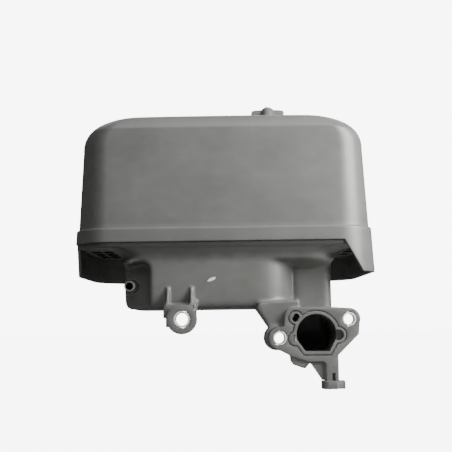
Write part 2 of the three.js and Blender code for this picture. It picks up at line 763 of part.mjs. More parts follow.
function elementSeal() {
  return ring(HOLE_R + 1.5, HOLE_R + SEAT_WIDE + 2, [SEAT_TOP + GAP, SEAT_TOP + GAP + SEAL_THICK]);
}

function endCap(bottom, inner, lipUp) {
  const top = bottom + CAP_THICK;
  const lip = lipUp ? top + CAP_LIP : bottom - CAP_LIP;
  const [near, far] = lipUp ? [bottom, top] : [top, bottom];
  const profile = [
    [inner, near],
    [CAP_R, near],
    [CAP_R, lip],
    [CAP_R - 1.2, lip],
    [CAP_R - 1.2, far],
    [inner, far],
  ];
  return turned(lipUp ? profile : profile.reverse());
}

function pleatedPaper() {
  const outer = CAP_R - 2;
  const inner = CORE_R + 2 * GAP + FOLD_THICK;
  const zigzag = (shrink) =>
    Array.from({ length: 2 * PLEATS }, (_, i) => {
      const radius = (i % 2 ? inner : outer) - shrink;
      const angle = (Math.PI * i) / PLEATS;
      return new THREE.Vector2(STUD_X + radius * Math.cos(angle), STUD_Y + radius * Math.sin(angle));
    });
  const band = new THREE.Shape(zigzag(0));
  band.holes.push(new THREE.Path(zigzag(FOLD_THICK).reverse()));
  return prismZ(band, paperZ);
}

function coreTube() {
  const tube = ring(CORE_R - CORE_WALL, CORE_R, paperZ, 30);
  const windows = [];
  const [columns, rows, margin] = [6, 2, 6];
  const pitch = (paperZ[1] - paperZ[0] - margin) / rows;
  for (let column = 0; column < columns; column += 1) {
    for (let row = 0; row < rows; row += 1) {
      const low = paperZ[0] + margin + row * pitch;
      const pane = new THREE.BoxGeometry(12, 14, pitch - margin);
      pane.translate(CORE_R, 0, low + (pitch - margin) / 2).rotateZ((2 * Math.PI * column) / columns);
      windows.push(solid(pane.translate(STUD_X, STUD_Y, 0)));
    }
  }
  return cut(tube, windows);
}

function foamSleeve() {
  return ring(CAP_R + 0.6, CAP_R + 0.6 + FOAM_THICK, [elementBottom - 2, elementTop + 2]);
}

// ---- Stud, nuts, washers, screws and collars ----------------------------------------------
const COLLAR_THICK = 2.6;
const NUT_HIGH = 5;
function filterStud() {
  const bottom = BOSS_Z[0] - GAP - NUT_HIGH - 1.5;
  const rod = turned([[0, bottom], [STUD_R - 0.6, bottom], [STUD_R, bottom + 0.7],
    [STUD_R, STUD_TOP - 0.7], [STUD_R - 0.6, STUD_TOP], [0, STUD_TOP]], 20);
  const seat = [BOSS_Z[1] + GAP, BOSS_Z[1] + GAP + COLLAR_THICK];
  return rod.add(post(STUD_X, STUD_Y, seat, 6.4, 6.4, 24));
}

function lockNut() {
  const z = [BOSS_Z[0] - GAP - NUT_HIGH, BOSS_Z[0] - GAP];
  const hex = post(STUD_X, STUD_Y, z, 5.77, 5.77, 6);
  return hex.subtract(post(STUD_X, STUD_Y, [z[0] - 1, z[1] + 1], STUD_R + RUN, STUD_R + RUN, 24));
}

const washer = (outer, z) => ring(STUD_R + RUN, outer, [z, z + WASHER_THICK], 24);

// A wing nut: a coned hub and two thin wings whose top edges fall towards their tips.
function wingNut(z, high, tipDrop) {
  const hub = turned([[0, z], [7.2, z], [6.8, z + 3], [5.2, z + high - 1], [4.6, z + high], [0, z + high]], 24);
  const half = NUT_SPAN / 2;
  const wing = new THREE.Shape();
  wing.moveTo(0, z + 3);
  wing.lineTo(half - 6, z + 4.6);
  wing.quadraticCurveTo(half, z + 5.4, half, z + high - tipDrop - 3);
  wing.quadraticCurveTo(half, z + high - tipDrop, half - 3.4, z + high - tipDrop);
  wing.lineTo(5.4, z + high - tipDrop + 0.3);
  wing.lineTo(0, z + high - 0.4);
  const wings = [0, Math.PI].map((turn) => {
    const options = { depth: 2.6, bevelEnabled: false, curveSegments: 4 };
    const blade = new THREE.ExtrudeGeometry(wing, options).rotateX(Math.PI / 2).translate(0, 1.3, 0);
    return solid(blade.rotateZ(turn).translate(STUD_X, STUD_Y, 0));
  });
  const bore = post(STUD_X, STUD_Y, [z - 1, z + high + 1], STUD_R + RUN, STUD_R + RUN, 24);
  return join([hub, ...wings]).subtract(bore);
}

const GROMMET_LIP = 2;
const grommetTop = COVER_TOP + GAP + GROMMET_LIP;
function grommet() {
  const low = COVER_TOP - PAD_THICK - GAP;
  return turned([
    [STUD_R + RUN, low - GROMMET_LIP],
    [10.4, low - GROMMET_LIP],
    [10.4, low],
    [COVER_HOLE_R - GAP, low],
    [COVER_HOLE_R - GAP, COVER_TOP + GAP],
    [11, COVER_TOP + GAP],
    [11, grommetTop],
    [STUD_R + RUN, grommetTop],
  ]);
}

function plateScrew([x, y]) {
  const head = plateZ[1] + GAP;
  const shank = post(x, y, [TRAY_FLOOR - 10, head + 1], SCREW_R, SCREW_R, 12);
  const dome = post(x, y, [head, head + 2.6], 4.6, 3.6, 16);
  const drive = [0, Math.PI / 2].map((turn) => {
    const arm = new THREE.BoxGeometry(4.4, 1, 3).rotateZ(turn + Math.PI / 4);
    return solid(arm.translate(x, y, head + 2.6));
  });
  return cut(shank.add(dome), drive);
}

function collar([x, z], outer, inner, long) {
  return barrel(x, z, [0, long], outer).subtract(barrel(x, z, [-1, long + 1], inner));
}

const flangeCollar = (place, long) => collar(place, FLANGE_COLLAR_R, FLANGE_COLLAR_BORE, long);

// ---- Assembly -----------------------------------------------------------------------------
const housing = new THREE.Group();

function add(name, body, material) {
  const mesh = new THREE.Mesh(geometryOf(body), material);
  mesh.name = name;
  housing.add(mesh);
}

const elementNutZ = elementTop + 2 * GAP + WASHER_THICK;
const coverNutZ = grommetTop + 2 * GAP + WASHER_THICK;

add("elbow_body", lowerBody(), PLASTIC);
add("flange_collar_left", flangeCollar(LEFT_HOLE, LEFT_COLLAR_LONG), STEEL);
add("flange_collar_right", flangeCollar(rightHole, RIGHT_COLLAR_LONG), STEEL);
add("bracket_collar", collar([LUG_X, LUG_Z], LUG_COLLAR_R, LUG_COLLAR_BORE, LUG_DEEP), STEEL);
add("plate_gasket", plateGasket(), RUBBER);
add("seat_plate", seatPlate(), PLASTIC);
screwPlaces.forEach((place, i) => add(`plate_screw_${i + 1}`, plateScrew(place), STEEL));
add("filter_stud", filterStud(), STEEL);
add("stud_lock_nut", lockNut(), STEEL);
add("element_seal", elementSeal(), RUBBER);
add("element_bottom_cap", endCap(elementBottom, CORE_R - CORE_WALL, true), CAP_LOOK);
add("element_core", coreTube(), STEEL);
add("element_paper", pleatedPaper(), PAPER_LOOK);
add("element_top_cap", endCap(elementTop - CAP_THICK, STUD_R + RUN, false), CAP_LOOK);
add("foam_sleeve", foamSleeve(), FOAM_LOOK);
add("element_washer", washer(10, elementTop + GAP), STEEL);
add("element_wing_nut", wingNut(elementNutZ, 12, 1), STEEL);
add("cover", cover(), PLASTIC);
add("cover_grommet", grommet(), RUBBER);
add("cover_washer", washer(11, grommetTop + GAP), STEEL);
add("cover_wing_nut", wingNut(coverNutZ, 13.8, 1.6), PLASTIC);

export default housing;
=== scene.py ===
# %% [markdown]
# An air filter housing from a horizontal-shaft utility engine. A deep cover sits over a bowl that is
# moulded in one with the snorkel, the carburettor flange, a bracket lug and a foot. A foam-wrapped
# paper element stands on a seat plate between the two, and wing nuts on one stud hold it all.
#
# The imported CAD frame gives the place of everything. It could be shown as it is, but CAD facets and
# knife edges don't look moulded, so the two big mouldings and the foam are made again here with
# soft edges, and the small hardware keeps its CAD shape with a rounded edge and a finish.

import math

import bmesh
import bpy
import numpy as np
from mathutils import Matrix, Vector


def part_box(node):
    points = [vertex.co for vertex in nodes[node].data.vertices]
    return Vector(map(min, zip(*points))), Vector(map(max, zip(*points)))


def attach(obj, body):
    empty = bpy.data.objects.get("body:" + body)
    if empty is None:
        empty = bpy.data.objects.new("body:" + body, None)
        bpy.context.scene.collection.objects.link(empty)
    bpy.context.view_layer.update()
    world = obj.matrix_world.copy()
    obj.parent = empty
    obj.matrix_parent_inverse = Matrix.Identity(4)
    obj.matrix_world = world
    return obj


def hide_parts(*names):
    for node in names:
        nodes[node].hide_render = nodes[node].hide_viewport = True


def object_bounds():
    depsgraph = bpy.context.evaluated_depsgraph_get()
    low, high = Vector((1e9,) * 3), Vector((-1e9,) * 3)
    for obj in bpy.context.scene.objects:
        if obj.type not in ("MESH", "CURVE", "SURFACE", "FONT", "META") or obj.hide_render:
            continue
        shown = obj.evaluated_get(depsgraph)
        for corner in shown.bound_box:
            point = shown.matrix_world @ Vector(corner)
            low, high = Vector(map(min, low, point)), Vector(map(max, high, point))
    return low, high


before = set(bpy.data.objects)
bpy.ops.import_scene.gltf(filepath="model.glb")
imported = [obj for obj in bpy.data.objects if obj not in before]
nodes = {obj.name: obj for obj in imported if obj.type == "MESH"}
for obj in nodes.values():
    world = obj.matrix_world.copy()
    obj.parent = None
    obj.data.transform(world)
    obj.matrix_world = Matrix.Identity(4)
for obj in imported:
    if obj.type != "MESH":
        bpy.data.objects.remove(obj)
frame_low, frame_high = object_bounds()
MM = 0.001
print("CAD nodes:", len(nodes), "whole size, mm:", [round(s / MM, 1) for s in frame_high - frame_low])

# %% [markdown]
# Shader maths is easier to read as sums than as a list of nodes and links. The class below wraps one
# socket: adding or multiplying two of them adds the Math node that does it. Everything else,
# such as noise or a ramp, comes from the node method of the finish it belongs to.

# %% Sockets as sums
class Value:
    """One output socket of a finish, on which ordinary arithmetic adds Math nodes."""

    def __init__(self, finish, socket):
        self.finish = finish
        self.socket = socket

    def maths(self, operation, *others):
        sockets = dict(enumerate([self, *others]))
        return self.finish.node("ShaderNodeMath", {"operation": operation}, sockets)

    def __add__(self, other):
        return self.maths("ADD", other)

    def __mul__(self, other):
        return self.maths("MULTIPLY", other)

    def __sub__(self, other):
        return self.maths("SUBTRACT", other)

    def __rsub__(self, other):
        return (self * -1) + other

    __radd__ = __add__
    __rmul__ = __mul__


class Finish:
    """A material with one Principled surface, and the method that adds nodes to it."""

    def __init__(self, name, colour, **surface):
        self.material = bpy.data.materials.new(name)
        self.material.use_nodes = True
        self.material.diffuse_color = (*colour, 1)
        self.tree = self.material.node_tree
        self.surface = self.tree.nodes["Principled BSDF"]
        self.set("Base Color", (*colour, 1))
        for socket, amount in surface.items():
            self.set(socket.replace("_", " "), amount)
        self.place = self.node("ShaderNodeTexCoord", {}, {}, out="Object")

    def plug(self, socket, value):
        if isinstance(value, Value):
            self.tree.links.new(value.socket, socket)
        else:
            socket.default_value = value

    def set(self, socket, value):
        self.plug(self.surface.inputs[socket], value)

    def node(self, kind, settings, sockets, out=0):
        made = self.tree.nodes.new(kind)
        for name, setting in settings.items():
            if name == "stops":
                for stop, (position, shade) in zip(made.color_ramp.elements, setting):
                    stop.position = position
                    stop.color = (shade, shade, shade, 1)
            else:
                setattr(made, name, setting)
        for socket, value in sockets.items():
            self.plug(made.inputs[socket], value)
        return Value(self, made.outputs[out])

    def noise(self, size, detail=3, stretch=(1, 1, 1)):
        """Noise whose lumps are about that many metres across."""
        spread = tuple(1 / (size * s) for s in stretch)
        scaled = {"Vector": self.place, "Scale": spread}
        at = self.node("ShaderNodeMapping", {}, scaled)
        return self.node("ShaderNodeTexNoise", {}, {"Vector": at, "Scale": 1, "Detail": detail})

    def ramp(self, value, low, high):
        """0 below low and 1 above high."""
        stops = {"stops": [(low, 0), (high, 1)]}
        return self.node("ShaderNodeValToRGB", stops, {"Fac": value})

    def between(self, share, first, second):
        """A colour that goes from the first to the second."""
        sockets = {0: share, 6: first, 7: second}
        return self.node("ShaderNodeMix", {"data_type": "RGBA"}, sockets, out=2)

    def relief(self, height, depth, strength=1):
        """Bump of that depth, in metres, on the surface's normal."""
        sockets = {"Height": height, "Distance": depth, "Strength": strength}
        self.set("Normal", self.node("ShaderNodeBump", {}, sockets))


print("shader helpers ready")

# %% [markdown]
# The housing is moulded from a filled nylon or polypropylene in dark warm grey. A mould is spark
# eroded or blasted, which leaves a fine even grain, and handling leaves paler rubbed patches. One
# flat colour would look like paint, so the grain is a small bump, and slow noise moves the colour
# and the roughness a little.

# %% Moulded plastic
GREY = (0.098, 0.1, 0.094)
WORN_GREY = (0.13, 0.132, 0.124)


def moulded_plastic(name, grain_deep=0.03 * MM):
    finish = Finish(name, GREY, IOR=1.5)
    cloud = finish.noise(38 * MM, detail=4)
    streak = finish.noise(7 * MM, detail=6, stretch=(1.6, 1, 1))
    grain = finish.noise(0.8 * MM, detail=3)
    worn = finish.ramp(cloud * 0.5 + streak * 0.3 + grain * 0.2, 0.36, 0.68)
    finish.set("Base Color", finish.between(worn, (*GREY, 1), (*WORN_GREY, 1)))
    finish.set("Roughness", cloud * 0.12 + streak * 0.06 + 0.32)
    finish.relief(grain, grain_deep)
    return finish


cover_plastic = moulded_plastic("cover_plastic")
print("plastic:", cover_plastic.material.name, "with", len(cover_plastic.tree.nodes), "nodes")

# %% [markdown]
# The bowl is the same plastic. Someone put a dab of white paint on its front at inspection. It is
# shown as a plain slanting brush stroke. It could be a decal, but a decal needs a picture, so it is
# the distance from the middle of a long oval, with noise eating its edge.

# %% A dab of paint
BOWL_FRONT = 12 * MM
DAB_AT = Vector((-81 * MM, BOWL_FRONT, 44 * MM))
DAB_DEEP = 6 * MM
DAB_LONG = 5.5 * MM
DAB_WIDE = 1.7 * MM
PAINT_WHITE = (0.7, 0.69, 0.65, 1)


def paint_dab(finish):
    to_dab = {"vector_type": "POINT"}
    sockets = {"Vector": finish.place, "Location": tuple(-v for v in DAB_AT)}
    moved = finish.node("ShaderNodeMapping", to_dab, sockets)
    turned = {"Vector": moved, "Rotation": (0, math.radians(24), 0)}
    slanted = finish.node("ShaderNodeMapping", to_dab, turned)
    squeezed = {"Vector": slanted, "Scale": (1 / DAB_LONG, 1 / DAB_DEEP, 1 / DAB_WIDE)}
    local = finish.node("ShaderNodeMapping", to_dab, squeezed)
    far = finish.node("ShaderNodeVectorMath", {"operation": "LENGTH"}, {0: local}, out="Value")
    ragged = far + (finish.noise(1.3 * MM, detail=4) * 0.5)
    return 1 - finish.ramp(ragged, 0.86, 1)


bowl_plastic = moulded_plastic("bowl_plastic")
print("paint dab, mm:", round(DAB_LONG / MM, 1), "by", round(DAB_WIDE / MM, 1))

# %% [markdown]
# The cover's skirt hangs over the top of the bowl and would shade the wall and floor under it.
# That shade is painted into the colour, which darkens with height. Noise makes the
# band's lower edge wander, and the dark never gets quite full.

# %% Painted shade in the recess under the skirt
RECESS_FROM = 57 * MM
RECESS_TO = 68 * MM
RECESS_WANDER = 6 * MM
MOST_PAINTED_SHADE = 0.75
# Colour of the painted shade under the skirt.
PAINTED_SHADE = (0.03, 0.03, 0.028, 1)


def recess(finish):
    """0 on the bowl, rising to most of 1 of painted shade on the floor that the skirt hides."""
    parts = finish.node("ShaderNodeSeparateXYZ", {}, {"Vector": finish.place}, out="Z")
    drift = (finish.noise(12 * MM, detail=3) - 0.5) * RECESS_WANDER
    share = (parts + drift - RECESS_FROM) * (1 / (RECESS_TO - RECESS_FROM))
    return share.maths("MAXIMUM", 0).maths("MINIMUM", MOST_PAINTED_SHADE)


def lay_over(finish, share, colour):
    """Lays a colour over the one that the finish has so far."""
    so_far = Value(finish, finish.surface.inputs["Base Color"].links[0].from_socket)
    finish.set("Base Color", finish.between(share, so_far, colour))


# Painted shade: the bowl's colour darkens towards the skirt's overhang.
lay_over(bowl_plastic, recess(bowl_plastic), PAINTED_SHADE)
lay_over(bowl_plastic, paint_dab(bowl_plastic), PAINT_WHITE)
# Prints the heights where the painted shade starts and ends.
print("painted_shade from, mm:", RECESS_FROM / MM, "to", RECESS_TO / MM)

# %% [markdown]
# Collars, washers, nuts, screws and stud are zinc plated steel. Plating is bright but not a mirror:
# it is slightly clouded, finely scratched, and yellows in patches. A full metal would only mirror
# the dim room and look black, so the surface is a quarter metal over a bright base, and its roughness
# follows stretched noise.

# %% Zinc plating
ZINC = (0.78, 0.78, 0.75, 1)
ZINC_WARM = (0.68, 0.66, 0.6, 1)


def zinc(name, stretch, rough=0.2):
    finish = Finish(name, ZINC[:3], Metallic=0.25)
    cloud = finish.noise(2.4 * MM, detail=5)
    brushed = finish.noise(0.35 * MM, detail=3, stretch=stretch)
    finish.set("Base Color", finish.between(finish.ramp(cloud, 0.45, 0.75), ZINC, ZINC_WARM))
    finish.set("Roughness", brushed * 0.22 + cloud * 0.12 + rough)
    finish.relief(brushed, 0.012 * MM)
    return finish


zinc_plate = zinc("zinc_plate", stretch=(9, 9, 1))
print("zinc:", zinc_plate.material.name)

# %% [markdown]
# The stud is the same metal with an M6 thread. Cutting the helix as geometry would cost many
# faces for a groove 0.6 mm deep, so the thread is a bump. It is a triangle wave of the height along
# the stud less the angle round it, which makes one true helix.

# %% Threaded stud
THREAD_PITCH = 1 * MM
stud_low, stud_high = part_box("filter_stud")
stud_middle = (stud_low + stud_high) / 2
stud_thread = zinc("stud_thread", stretch=(1, 1, 6), rough=0.24)


def helix(finish):
    parts = finish.node("ShaderNodeSeparateXYZ", {}, {"Vector": finish.place}, out="X")
    outputs = parts.socket.node.outputs
    across = Value(finish, outputs["X"]) - stud_middle.x
    along = Value(finish, outputs["Y"]) - stud_middle.y
    turn = along.maths("ARCTAN2", across) * (1 / (2 * math.pi))
    climb = Value(finish, outputs["Z"]) * (1 / THREAD_PITCH)
    return (climb - turn).maths("PINGPONG", 0.5)


stud_thread.relief(helix(stud_thread), 0.9 * MM)
print("stud, mm:", round((stud_high.z - stud_low.z) / MM, 1), "long, pitch", THREAD_PITCH / MM)

# %% [markdown]
# Rubber, cast end caps, pleated paper and foam are all dull, and differ in what breaks up the
# surface: rubber has a faint bloom, cast polyurethane small pits, paper long fibres, and foam is
# all open cells.

# %% Soft finishes
rubber = Finish("black_rubber", (0.012, 0.012, 0.012))
bloom = rubber.noise(5 * MM, detail=4)
rubber.set("Base Color", rubber.between(bloom, (0.01, 0.01, 0.01, 1), (0.035, 0.034, 0.032, 1)))
rubber.set("Roughness", bloom * 0.3 + 0.45)
rubber.relief(rubber.noise(0.7 * MM), 0.02 * MM)

cast_cap = Finish("cast_end_cap", (0.42, 0.09, 0.045))
pits = cast_cap.noise(0.9 * MM, detail=2)
tint = cast_cap.noise(22 * MM, detail=3)
cast_cap.set("Base Color", cast_cap.between(tint, (0.36, 0.07, 0.035, 1), (0.5, 0.12, 0.06, 1)))
cast_cap.set("Roughness", tint * 0.2 + 0.4)
cast_cap.relief(cast_cap.ramp(pits, 0.25, 0.4), 0.06 * MM)

filter_paper = Finish("filter_paper", (0.72, 0.52, 0.22))
fibre = filter_paper.noise(0.4 * MM, detail=5, stretch=(1, 1, 7))
stain = filter_paper.noise(30 * MM, detail=4)
cream = (0.78, 0.62, 0.34, 1)
filter_paper.set("Base Color", filter_paper.between(stain, cream, (0.6, 0.42, 0.17, 1)))
filter_paper.set("Roughness", fibre * 0.2 + 0.7)
filter_paper.relief(fibre, 0.08 * MM)

foam_cells = Finish("open_cell_foam", (0.03, 0.031, 0.033))
cell_settings = {"feature": "F1"}
cell_sockets = {"Vector": foam_cells.place, "Scale": 1 / (1.5 * MM)}
cells = foam_cells.node("ShaderNodeTexVoronoi", cell_settings, cell_sockets, out="Distance")
foam_cells.set("Base Color", foam_cells.between(cells, (0.008, 0.008, 0.009, 1), (0.07, 0.07, 0.075, 1)))
foam_cells.set("Roughness", cells * 0.1 + 0.85)
foam_cells.relief(cells, 0.9 * MM)
print("soft finishes ready")

# %% [markdown]
# The cover is the biggest thing in view, and its highlights show every facet. It could be remeshed
# from CAD, but a surface built row by row from its own curves is smoother and lighter. Each row is
# a rectangle with round corners at one height. The lower edge isn't level: it is cut away over the
# bowl, so every column starts at its own height and the rows above close up to it.

# %% Cover sizes
cover_low, cover_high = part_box("cover")
cover_middle_x = (cover_low.x + cover_high.x) / 2
cover_half = (cover_high.x - cover_low.x) / 2
grommet_low, grommet_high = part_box("cover_grommet")
TOP = cover_high.z
RIM = TOP - 6.2 * MM
SKIRT = cover_low.z
SEAM = SKIRT + 36.6 * MM
FRONT_EDGE = SKIRT + 25.2 * MM
WALL = 2.5 * MM
STEP = 2 * MM
SLOPE = math.tan(math.radians(3.1))
SHOULDER_HIGH = 28 * MM
SHOULDER_WIDE = 42 * MM
CORNERS = [30 * MM, 30 * MM, 48 * MM, 48 * MM]  # front left, front right, rear right, rear left
LEAST_CORNER = 6 * MM
SLANT_RIGHT = [cover_high.x - 27 * MM, cover_high.x - 12.6 * MM]
SLANT_LEFT = [cover_low.y + 34 * MM, cover_low.y + 51 * MM]
HOLE = 8 * MM
PAD = 14 * MM
SAME_POINT = 1e-6
print("cover, mm:", [round(s / MM, 1) for s in cover_high - cover_low])


# %% Round-cornered rows
def columns():
    """Where the rows have their points: an angle on each corner, a share on each straight."""
    corner_turns = [np.linspace(0, 1, 33) for _ in CORNERS]
    reach = CORNERS[1]
    for x in SLANT_RIGHT:
        turn = math.asin((x - (cover_high.x - reach)) / reach) / (math.pi / 2)
        corner_turns[1] = np.sort(np.append(corner_turns[1], turn))
    straights = [np.linspace(0, 1, n + 1)[1:-1] for n in (40, 16, 22, 30)]
    left_from = cover_high.y - CORNERS[3]
    left_long = left_from - (cover_low.y + CORNERS[0])
    for y in SLANT_LEFT:
        straights[3] = np.sort(np.append(straights[3], (left_from - y) / left_long))
    return corner_turns, straights


corner_turns, straights = columns()


def row(side, front):
    """A rounded rectangle's points, pulled in by side at the ends and front at the front and rear."""
    centres = [
        (cover_low.x, cover_low.y, 1, 1),
        (cover_high.x, cover_low.y, -1, 1),
        (cover_high.x, cover_high.y, -1, -1),
        (cover_low.x, cover_high.y, 1, -1),
    ]
    arcs = []
    for corner, (x, y, sx, sy) in enumerate(centres):
        radius = max(CORNERS[corner] - min(side, front), LEAST_CORNER)
        angle = math.pi + (math.pi / 2) * (corner + corner_turns[corner])
        across = x + sx * (side + radius) + radius * np.cos(angle)
        along = y + sy * (front + radius) + radius * np.sin(angle)
        arcs.append(np.column_stack([across, along]))
    points = []
    for corner, arc in enumerate(arcs):
        start, end = arc[-1], arcs[(corner + 1) % 4][0]
        share = straights[corner][:, None]
        points += [arc, start + share * (end - start)]
    return np.vstack(points)


base_row = row(0, 0)
print("points in a row:", len(base_row))


# %% Height of the cut lower edge
def lower_edge(points):
    x, y = points[:, 0], points[:, 1]
    right = np.interp(x, SLANT_RIGHT, [FRONT_EDGE, SKIRT + MM])
    right[x > SLANT_RIGHT[1]] = SKIRT
    left = np.interp(y, SLANT_LEFT, [FRONT_EDGE, SKIRT - 1.6 * MM])
    at_front = y < SLANT_LEFT[0]
    on_left = x < cover_middle_x
    height = np.where(on_left, left, np.where(at_front, right, SKIRT))
    return np.maximum(height, SKIRT)


edge_height = lower_edge(base_row)
print("lower edge, mm:", round(edge_height.min() / MM, 1), "to", round(edge_height.max() / MM, 1))

# %% [markdown]
# Going up, the outside is a drafted skirt, a rounded step that hides the seam with the tray's rim,
# a drafted wall, and a shoulder. The shoulder is a long soft curve at the two ends but a crisp flat
# bevel along the front, which the same row function makes from two different insets.

# %% Shoulder and roof curves
drafted = lambda z: (z - SKIRT) * SLOPE
wall_in = drafted(RIM - SHOULDER_HIGH) + STEP
BEVEL_UP = [0, 0.22, 0.42, 0.61, 0.77, 0.9, 0.965, 1]
BEVEL_IN = [0, 0.2, 0.5, 0.8, 3.4, 6, 7.6, 10.5]


def shoulder_rows(count=44):
    up = 1 - (1 - np.linspace(0, 1, count)) ** 1.4
    side = SHOULDER_WIDE * (1 - (1 - up**2.6) ** 0.46)
    front = np.interp(up, BEVEL_UP, BEVEL_IN)
    kernel = np.array([1, 2, 1]) / 4
    front[1:-1] = np.convolve(front, kernel, "same")[1:-1]
    return up, wall_in + side, wall_in + front * MM, RIM - SHOULDER_HIGH * (1 - up)


def crowned(share):
    t = np.clip(share / 0.75, 0, 1)
    return t * t * (3 - 2 * t)


def arch(points, share):
    return MM * share * (1 - ((points[:, 0] - cover_middle_x) / cover_half) ** 2)


print("shoulder rows:", len(shoulder_rows()[0]))


# %% [markdown]
# A mould's edges are never sharp, so the lower edge is rounded by four short rows, and the seam step
# by six. A boolean and a bevel could do the same, but they would break the rows that carry the shine.

# %% Rows at a height, and the skirt
def at_height(side, front, z):
    points = row(side, front)
    return np.column_stack([points, np.full(len(points), z)])


LIP = 0.7 * MM
LIP_EASE = [1, 0.38, 0.08, 0]
LIP_RISE = [0, 0.12, 0.45, 1]


def pulled_in(inset, z):
    """A row whose points are each pulled in by their own amount."""
    low, high = row(inset.min(), inset.min()), row(inset.max(), inset.max())
    span = inset.max() - inset.min()
    share = (inset - inset.min()) / span if span > 1e-9 else np.zeros(len(inset))
    return np.column_stack([low + share[:, None] * (high - low), z])


def skirt_skin(inward, top):
    """Rows from the rounded lower edge up to a height, for the outside or the inside."""
    way = 1 if inward == 0 else -1
    rounding = [(0, way * LIP * ease, LIP * rise) for ease, rise in zip(LIP_EASE, LIP_RISE)]
    wall = [(share, 0, LIP) for share in (0.15, 0.35, 0.6, 0.8, 0.93, 1)]
    rows = []
    for share, shift, rise in rounding + wall:
        z = edge_height + rise
        z = z + share * (top - z)
        rows.append(pulled_in(inward + shift + drafted(z), z))
    return rows


print("skirt rows:", len(skirt_skin(0, SEAM)))


# %% Outside and inside of the cover
SEAM_STEP = [(0.12, -0.8), (0.42, -0.36), (0.9, -0.1), (1.5, 0), (1.86, 0.12), (2, 0.5)]
BELOW_SHOULDER = RIM - SHOULDER_HIGH - 6 * MM


def outside_rows():
    rows = skirt_skin(0, SEAM - 1.3 * MM)
    for step_in, rise in SEAM_STEP:
        inset = drafted(SEAM + rise * MM) + step_in * MM
        rows.append(at_height(inset, inset, SEAM + rise * MM))
    for z in np.linspace(SEAM + 4 * MM, BELOW_SHOULDER, 6):
        rows.append(at_height(drafted(z) + STEP, drafted(z) + STEP, z))
    for up, side, front, z in zip(*shoulder_rows()):
        points = row(side, front)
        rows.append(np.column_stack([points, z + arch(points, up)]))
    return rows


def inside_rows():
    ledge = SEAM - WALL + MM
    rows = skirt_skin(WALL, ledge)
    for z in (ledge + 0.4 * MM, ledge + 5 * MM, BELOW_SHOULDER):
        inset = WALL + drafted(z) + STEP
        rows.append(at_height(inset, inset, z))
    for up, side, front, z in zip(*shoulder_rows(20)):
        points = row(side + 0.8 * WALL, front + 0.8 * WALL)
        rows.append(np.column_stack([points, z - WALL * (0.6 + 0.4 * up) + arch(points, up)]))
    return rows


print("rows outside:", len(outside_rows()), "inside:", len(inside_rows()))


# %% Roof, and the skin made of the rows
def roof_rows(rim, drop, pad_z):
    """Rows that run from the shoulder's last row in to the round hole for the grommet."""
    stud = np.array([stud_middle.x, stud_middle.y])
    out = rim[:, :2] - stud
    ray = out / np.linalg.norm(out, axis=1)[:, None]
    rows = []
    for share in np.linspace(0, 1, 15)[1:]:
        points = rim[:, :2] + share * (stud + ray * (PAD + 0.4 * MM) - rim[:, :2])
        rise = crowned(share)
        z = rim[:, 2] * (1 - rise) + (TOP - 0.6 * MM - drop) * rise
        rows.append(np.column_stack([points, z]))
    for radius, z in ((PAD, pad_z - 0.12 * MM), (PAD - 0.4 * MM, pad_z), (HOLE, pad_z)):
        rows.append(np.column_stack([stud + ray * radius, np.full(len(ray), z)]))
    return rows


def placed(name, data):
    """A new object with that data, linked to the scene."""
    made = bpy.data.objects.new(name, data)
    bpy.context.scene.collection.objects.link(made)
    return made


def skin_object(name, rows):
    """A closed tube of rows, each joined to the next and the last to the first."""
    count = len(rows[0])
    corners = np.vstack(rows)
    faces = []
    for level in range(len(rows)):
        here, above = level * count, ((level + 1) % len(rows)) * count
        for i in range(count):
            j = (i + 1) % count
            faces.append((here + i, here + j, above + j, above + i))
    mesh = bpy.data.meshes.new(name)
    mesh.from_pydata([tuple(c) for c in corners], [], faces)
    shape = bmesh.new()
    shape.from_mesh(mesh)
    bmesh.ops.remove_doubles(shape, verts=shape.verts, dist=SAME_POINT)
    bmesh.ops.recalc_face_normals(shape, faces=shape.faces)
    shape.to_mesh(mesh)
    shape.free()
    return placed(name, mesh)


outer = outside_rows()
outer += roof_rows(outer[-1], 0, TOP)
inner = inside_rows()
inner += roof_rows(inner[-1], WALL, grommet_low.z + 2.3 * MM)
cover_shell = skin_object("cover_shell", outer + inner[::-1])
print("cover faces:", len(cover_shell.data.polygons))


# %% [markdown]
# Smooth shading would smear light over the crisp edges, so edges steeper than a set angle stay
# sharp and everything else is smoothed. Each piece then rides on the CAD body that it belongs to.

# %% Shade, finish and ride
def smooth(mesh, degrees):
    mesh.polygons.foreach_set("use_smooth", [True] * len(mesh.polygons))
    mesh.set_sharp_from_angle(angle=math.radians(degrees))


def fit_out(piece, finish, body, stands_for, degrees=40):
    smooth(piece.data, degrees)
    piece.data.materials.clear()
    piece.data.materials.append(finish.material)
    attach(piece, body)
    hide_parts(stands_for)
    return piece


fit_out(cover_shell, cover_plastic, "cover", "cover", degrees=50)
print("cover rides on the cover body")

# %% [markdown]
# The lower moulding has ribs, bosses, a bent duct and a flange, and on the real part every inner
# corner is filleted so that the plastic flows. Bevelling a boolean solid that complicated leaves
# torn corners. Turning it into an even fine skin first, then letting each point slide towards the
# middle of its neighbours, rounds every edge at once. How strongly depends on the place: the bowl
# and throat get large soft radii, while the flange, holes and ribs stay tight.

# %% Even skin from a CAD node
SKIN_STEP = 0.85 * MM


def settle(piece):
    """Turns a piece's modifiers into its own mesh."""
    shaped = piece.evaluated_get(bpy.context.evaluated_depsgraph_get())
    mesh = bpy.data.meshes.new_from_object(shaped)
    piece.modifiers.clear()
    piece.data = mesh


def even_skin(node, name, step):
    made = placed(name, nodes[node].data.copy())
    weld = made.modifiers.new("weld", "WELD")
    weld.merge_threshold = SAME_POINT
    skin = made.modifiers.new("skin", "REMESH")
    skin.mode = "VOXEL"
    skin.voxel_size = step
    settle(made)
    return made


lower_moulding = even_skin("elbow_body", "lower_moulding", SKIN_STEP)
print("skin points:", len(lower_moulding.data.vertices))


